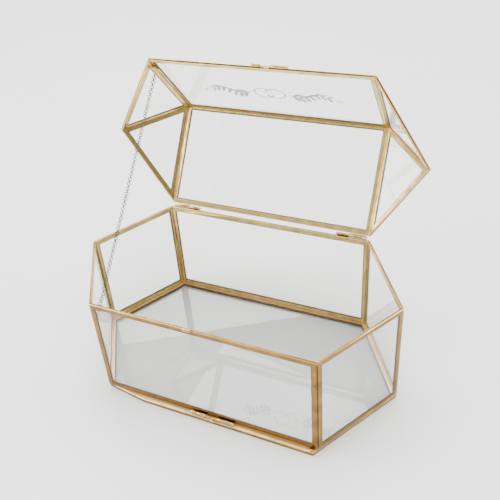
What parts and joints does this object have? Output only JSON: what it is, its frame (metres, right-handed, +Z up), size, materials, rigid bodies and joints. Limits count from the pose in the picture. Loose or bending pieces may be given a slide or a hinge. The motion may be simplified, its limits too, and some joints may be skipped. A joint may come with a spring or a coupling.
{
  "type": "glass card box",
  "caption": "Elongated hexagonal box of glass panes in soldered brass channels, with a hinged hipped lid, a chain stop and a hinged floor.",
  "frame": {"origin": "on the surface that the box stands on, under the middle of the box's bounding box with its lid open", "axes": "+X along the straight front edge to the right as seen from the front, +Y to the back, where the hinges are, +Z up"},
  "size_m": [0.2954, 0.2286, 0.2692],
  "materials": {
    "channel_brass": "lightly aged, satin, darker in the corners",
    "tube_brass": "drawn tube, polished",
    "wire_brass": "drawn wire, polished",
    "clear_glass": "clear float glass with a faint grey-green edge"
  },
  "bodies": {
    "base": {"wall_channel_front": "channel_brass", "wall_channel_right_front": "channel_brass", "wall_channel_right_back": "channel_brass", "wall_channel_back": "channel_brass", "wall_channel_left_back": "channel_brass", "wall_channel_left_front": "channel_brass", "wall_glass_front": "clear_glass", "wall_glass_right_front": "clear_glass", "wall_glass_right_back": "clear_glass", "wall_glass_back": "clear_glass", "wall_glass_left_back": "clear_glass", "wall_glass_left_front": "clear_glass", "base_knuckle_left": "tube_brass", "base_knuckle_right": "tube_brass", "foot_knuckle_left": "tube_brass", "foot_knuckle_right": "tube_brass", "lid_hinge_pin_left": "wire_brass", "lid_hinge_pin_right": "wire_brass", "door_hinge_pin_left": "wire_brass", "door_hinge_pin_right": "wire_brass", "lid_latch_catch": "tube_brass", "door_latch_catch": "tube_brass", "chain_anchor_base": "tube_brass"},
    "lid": {"lid_channel_front": "channel_brass", "lid_channel_right_front": "channel_brass", "lid_channel_right_back": "channel_brass", "lid_channel_back": "channel_brass", "lid_channel_left_back": "channel_brass", "lid_channel_left_front": "channel_brass", "lid_glass_front": "clear_glass", "lid_glass_right_front": "clear_glass", "lid_glass_right_back": "clear_glass", "lid_glass_back": "clear_glass", "lid_glass_left_back": "clear_glass", "lid_glass_left_front": "clear_glass", "lid_knuckle_left": "tube_brass", "lid_knuckle_right": "tube_brass", "lid_latch_guide": "tube_brass", "lid_latch_keeper": "tube_brass", "chain_anchor_lid": "tube_brass"},
    "lid_bolt": {"lid_latch_bolt": "wire_brass"},
    "floor_door": {"floor_door_channel": "channel_brass", "floor_door_glass": "clear_glass", "door_knuckle_left": "tube_brass", "door_knuckle_right": "tube_brass", "door_latch_guide": "tube_brass", "door_latch_keeper": "tube_brass"},
    "door_bolt": {"door_latch_bolt": "wire_brass"},
    "chain_base_strand": {"chain_base_strand": "wire_brass"},
    "chain_base_end": {"chain_base_end": "wire_brass"},
    "chain_lid_strand": {"chain_lid_strand": "wire_brass"},
    "chain_lid_end": {"chain_lid_end": "wire_brass"}
  },
  "joints": [
    {"name": "lid_hinge", "type": "hinge", "parent": "base", "child": "lid", "pos_m": [0, 0.05311, 0.106], "axis": [1, 0, 0], "range_deg": [0, 88]},
    {"name": "floor_door_hinge", "type": "hinge", "parent": "base", "child": "floor_door", "pos_m": [0, 0.05311, 0.0021], "axis": [1, 0, 0], "range_deg": [0, 90]},
    {"name": "lid_bolt_slide", "type": "slide", "parent": "lid", "child": "lid_bolt", "axis": [-1, 0, 0], "range_m": [0, 0.004]},
    {"name": "door_bolt_slide", "type": "slide", "parent": "floor_door", "child": "door_bolt", "axis": [-1, 0, 0], "range_m": [0, 0.0045]},
    {"name": "chain_base_pivot", "type": "hinge", "parent": "base", "child": "chain_base_strand", "pos_m": [-0.09909, -0.10039, 0.0918], "axis": [1, 0, 0], "range_deg": [-136.2, 0]},
    {"name": "chain_base_fold", "type": "hinge", "parent": "chain_base_strand", "child": "chain_base_end", "pos_m": [-0.09909, -0.04094, 0.15311], "axis": [1, 0, 0], "range_deg": [0, 90.3]},
    {"name": "chain_lid_pivot", "type": "hinge", "parent": "lid", "child": "chain_lid_strand", "pos_m": [-0.09909, 0.05355, 0.25056], "axis": [1, 0, 0], "range_deg": [-44.2, 0]},
    {"name": "chain_lid_fold", "type": "hinge", "parent": "chain_lid_strand", "child": "chain_lid_end", "pos_m": [-0.09909, -0.01194, 0.18302], "axis": [1, 0, 0], "range_deg": [0, 53]}
  ],
  "couplings": [
    {"joint": "chain_base_pivot", "follows": "lid_hinge", "ratio": -1.5441},
    {"joint": "chain_base_fold", "follows": "lid_hinge", "ratio": 1.0227},
    {"joint": "chain_lid_pivot", "follows": "lid_hinge", "ratio": -0.49869},
    {"joint": "chain_lid_fold", "follows": "lid_hinge", "ratio": 0.5992}
  ]
}
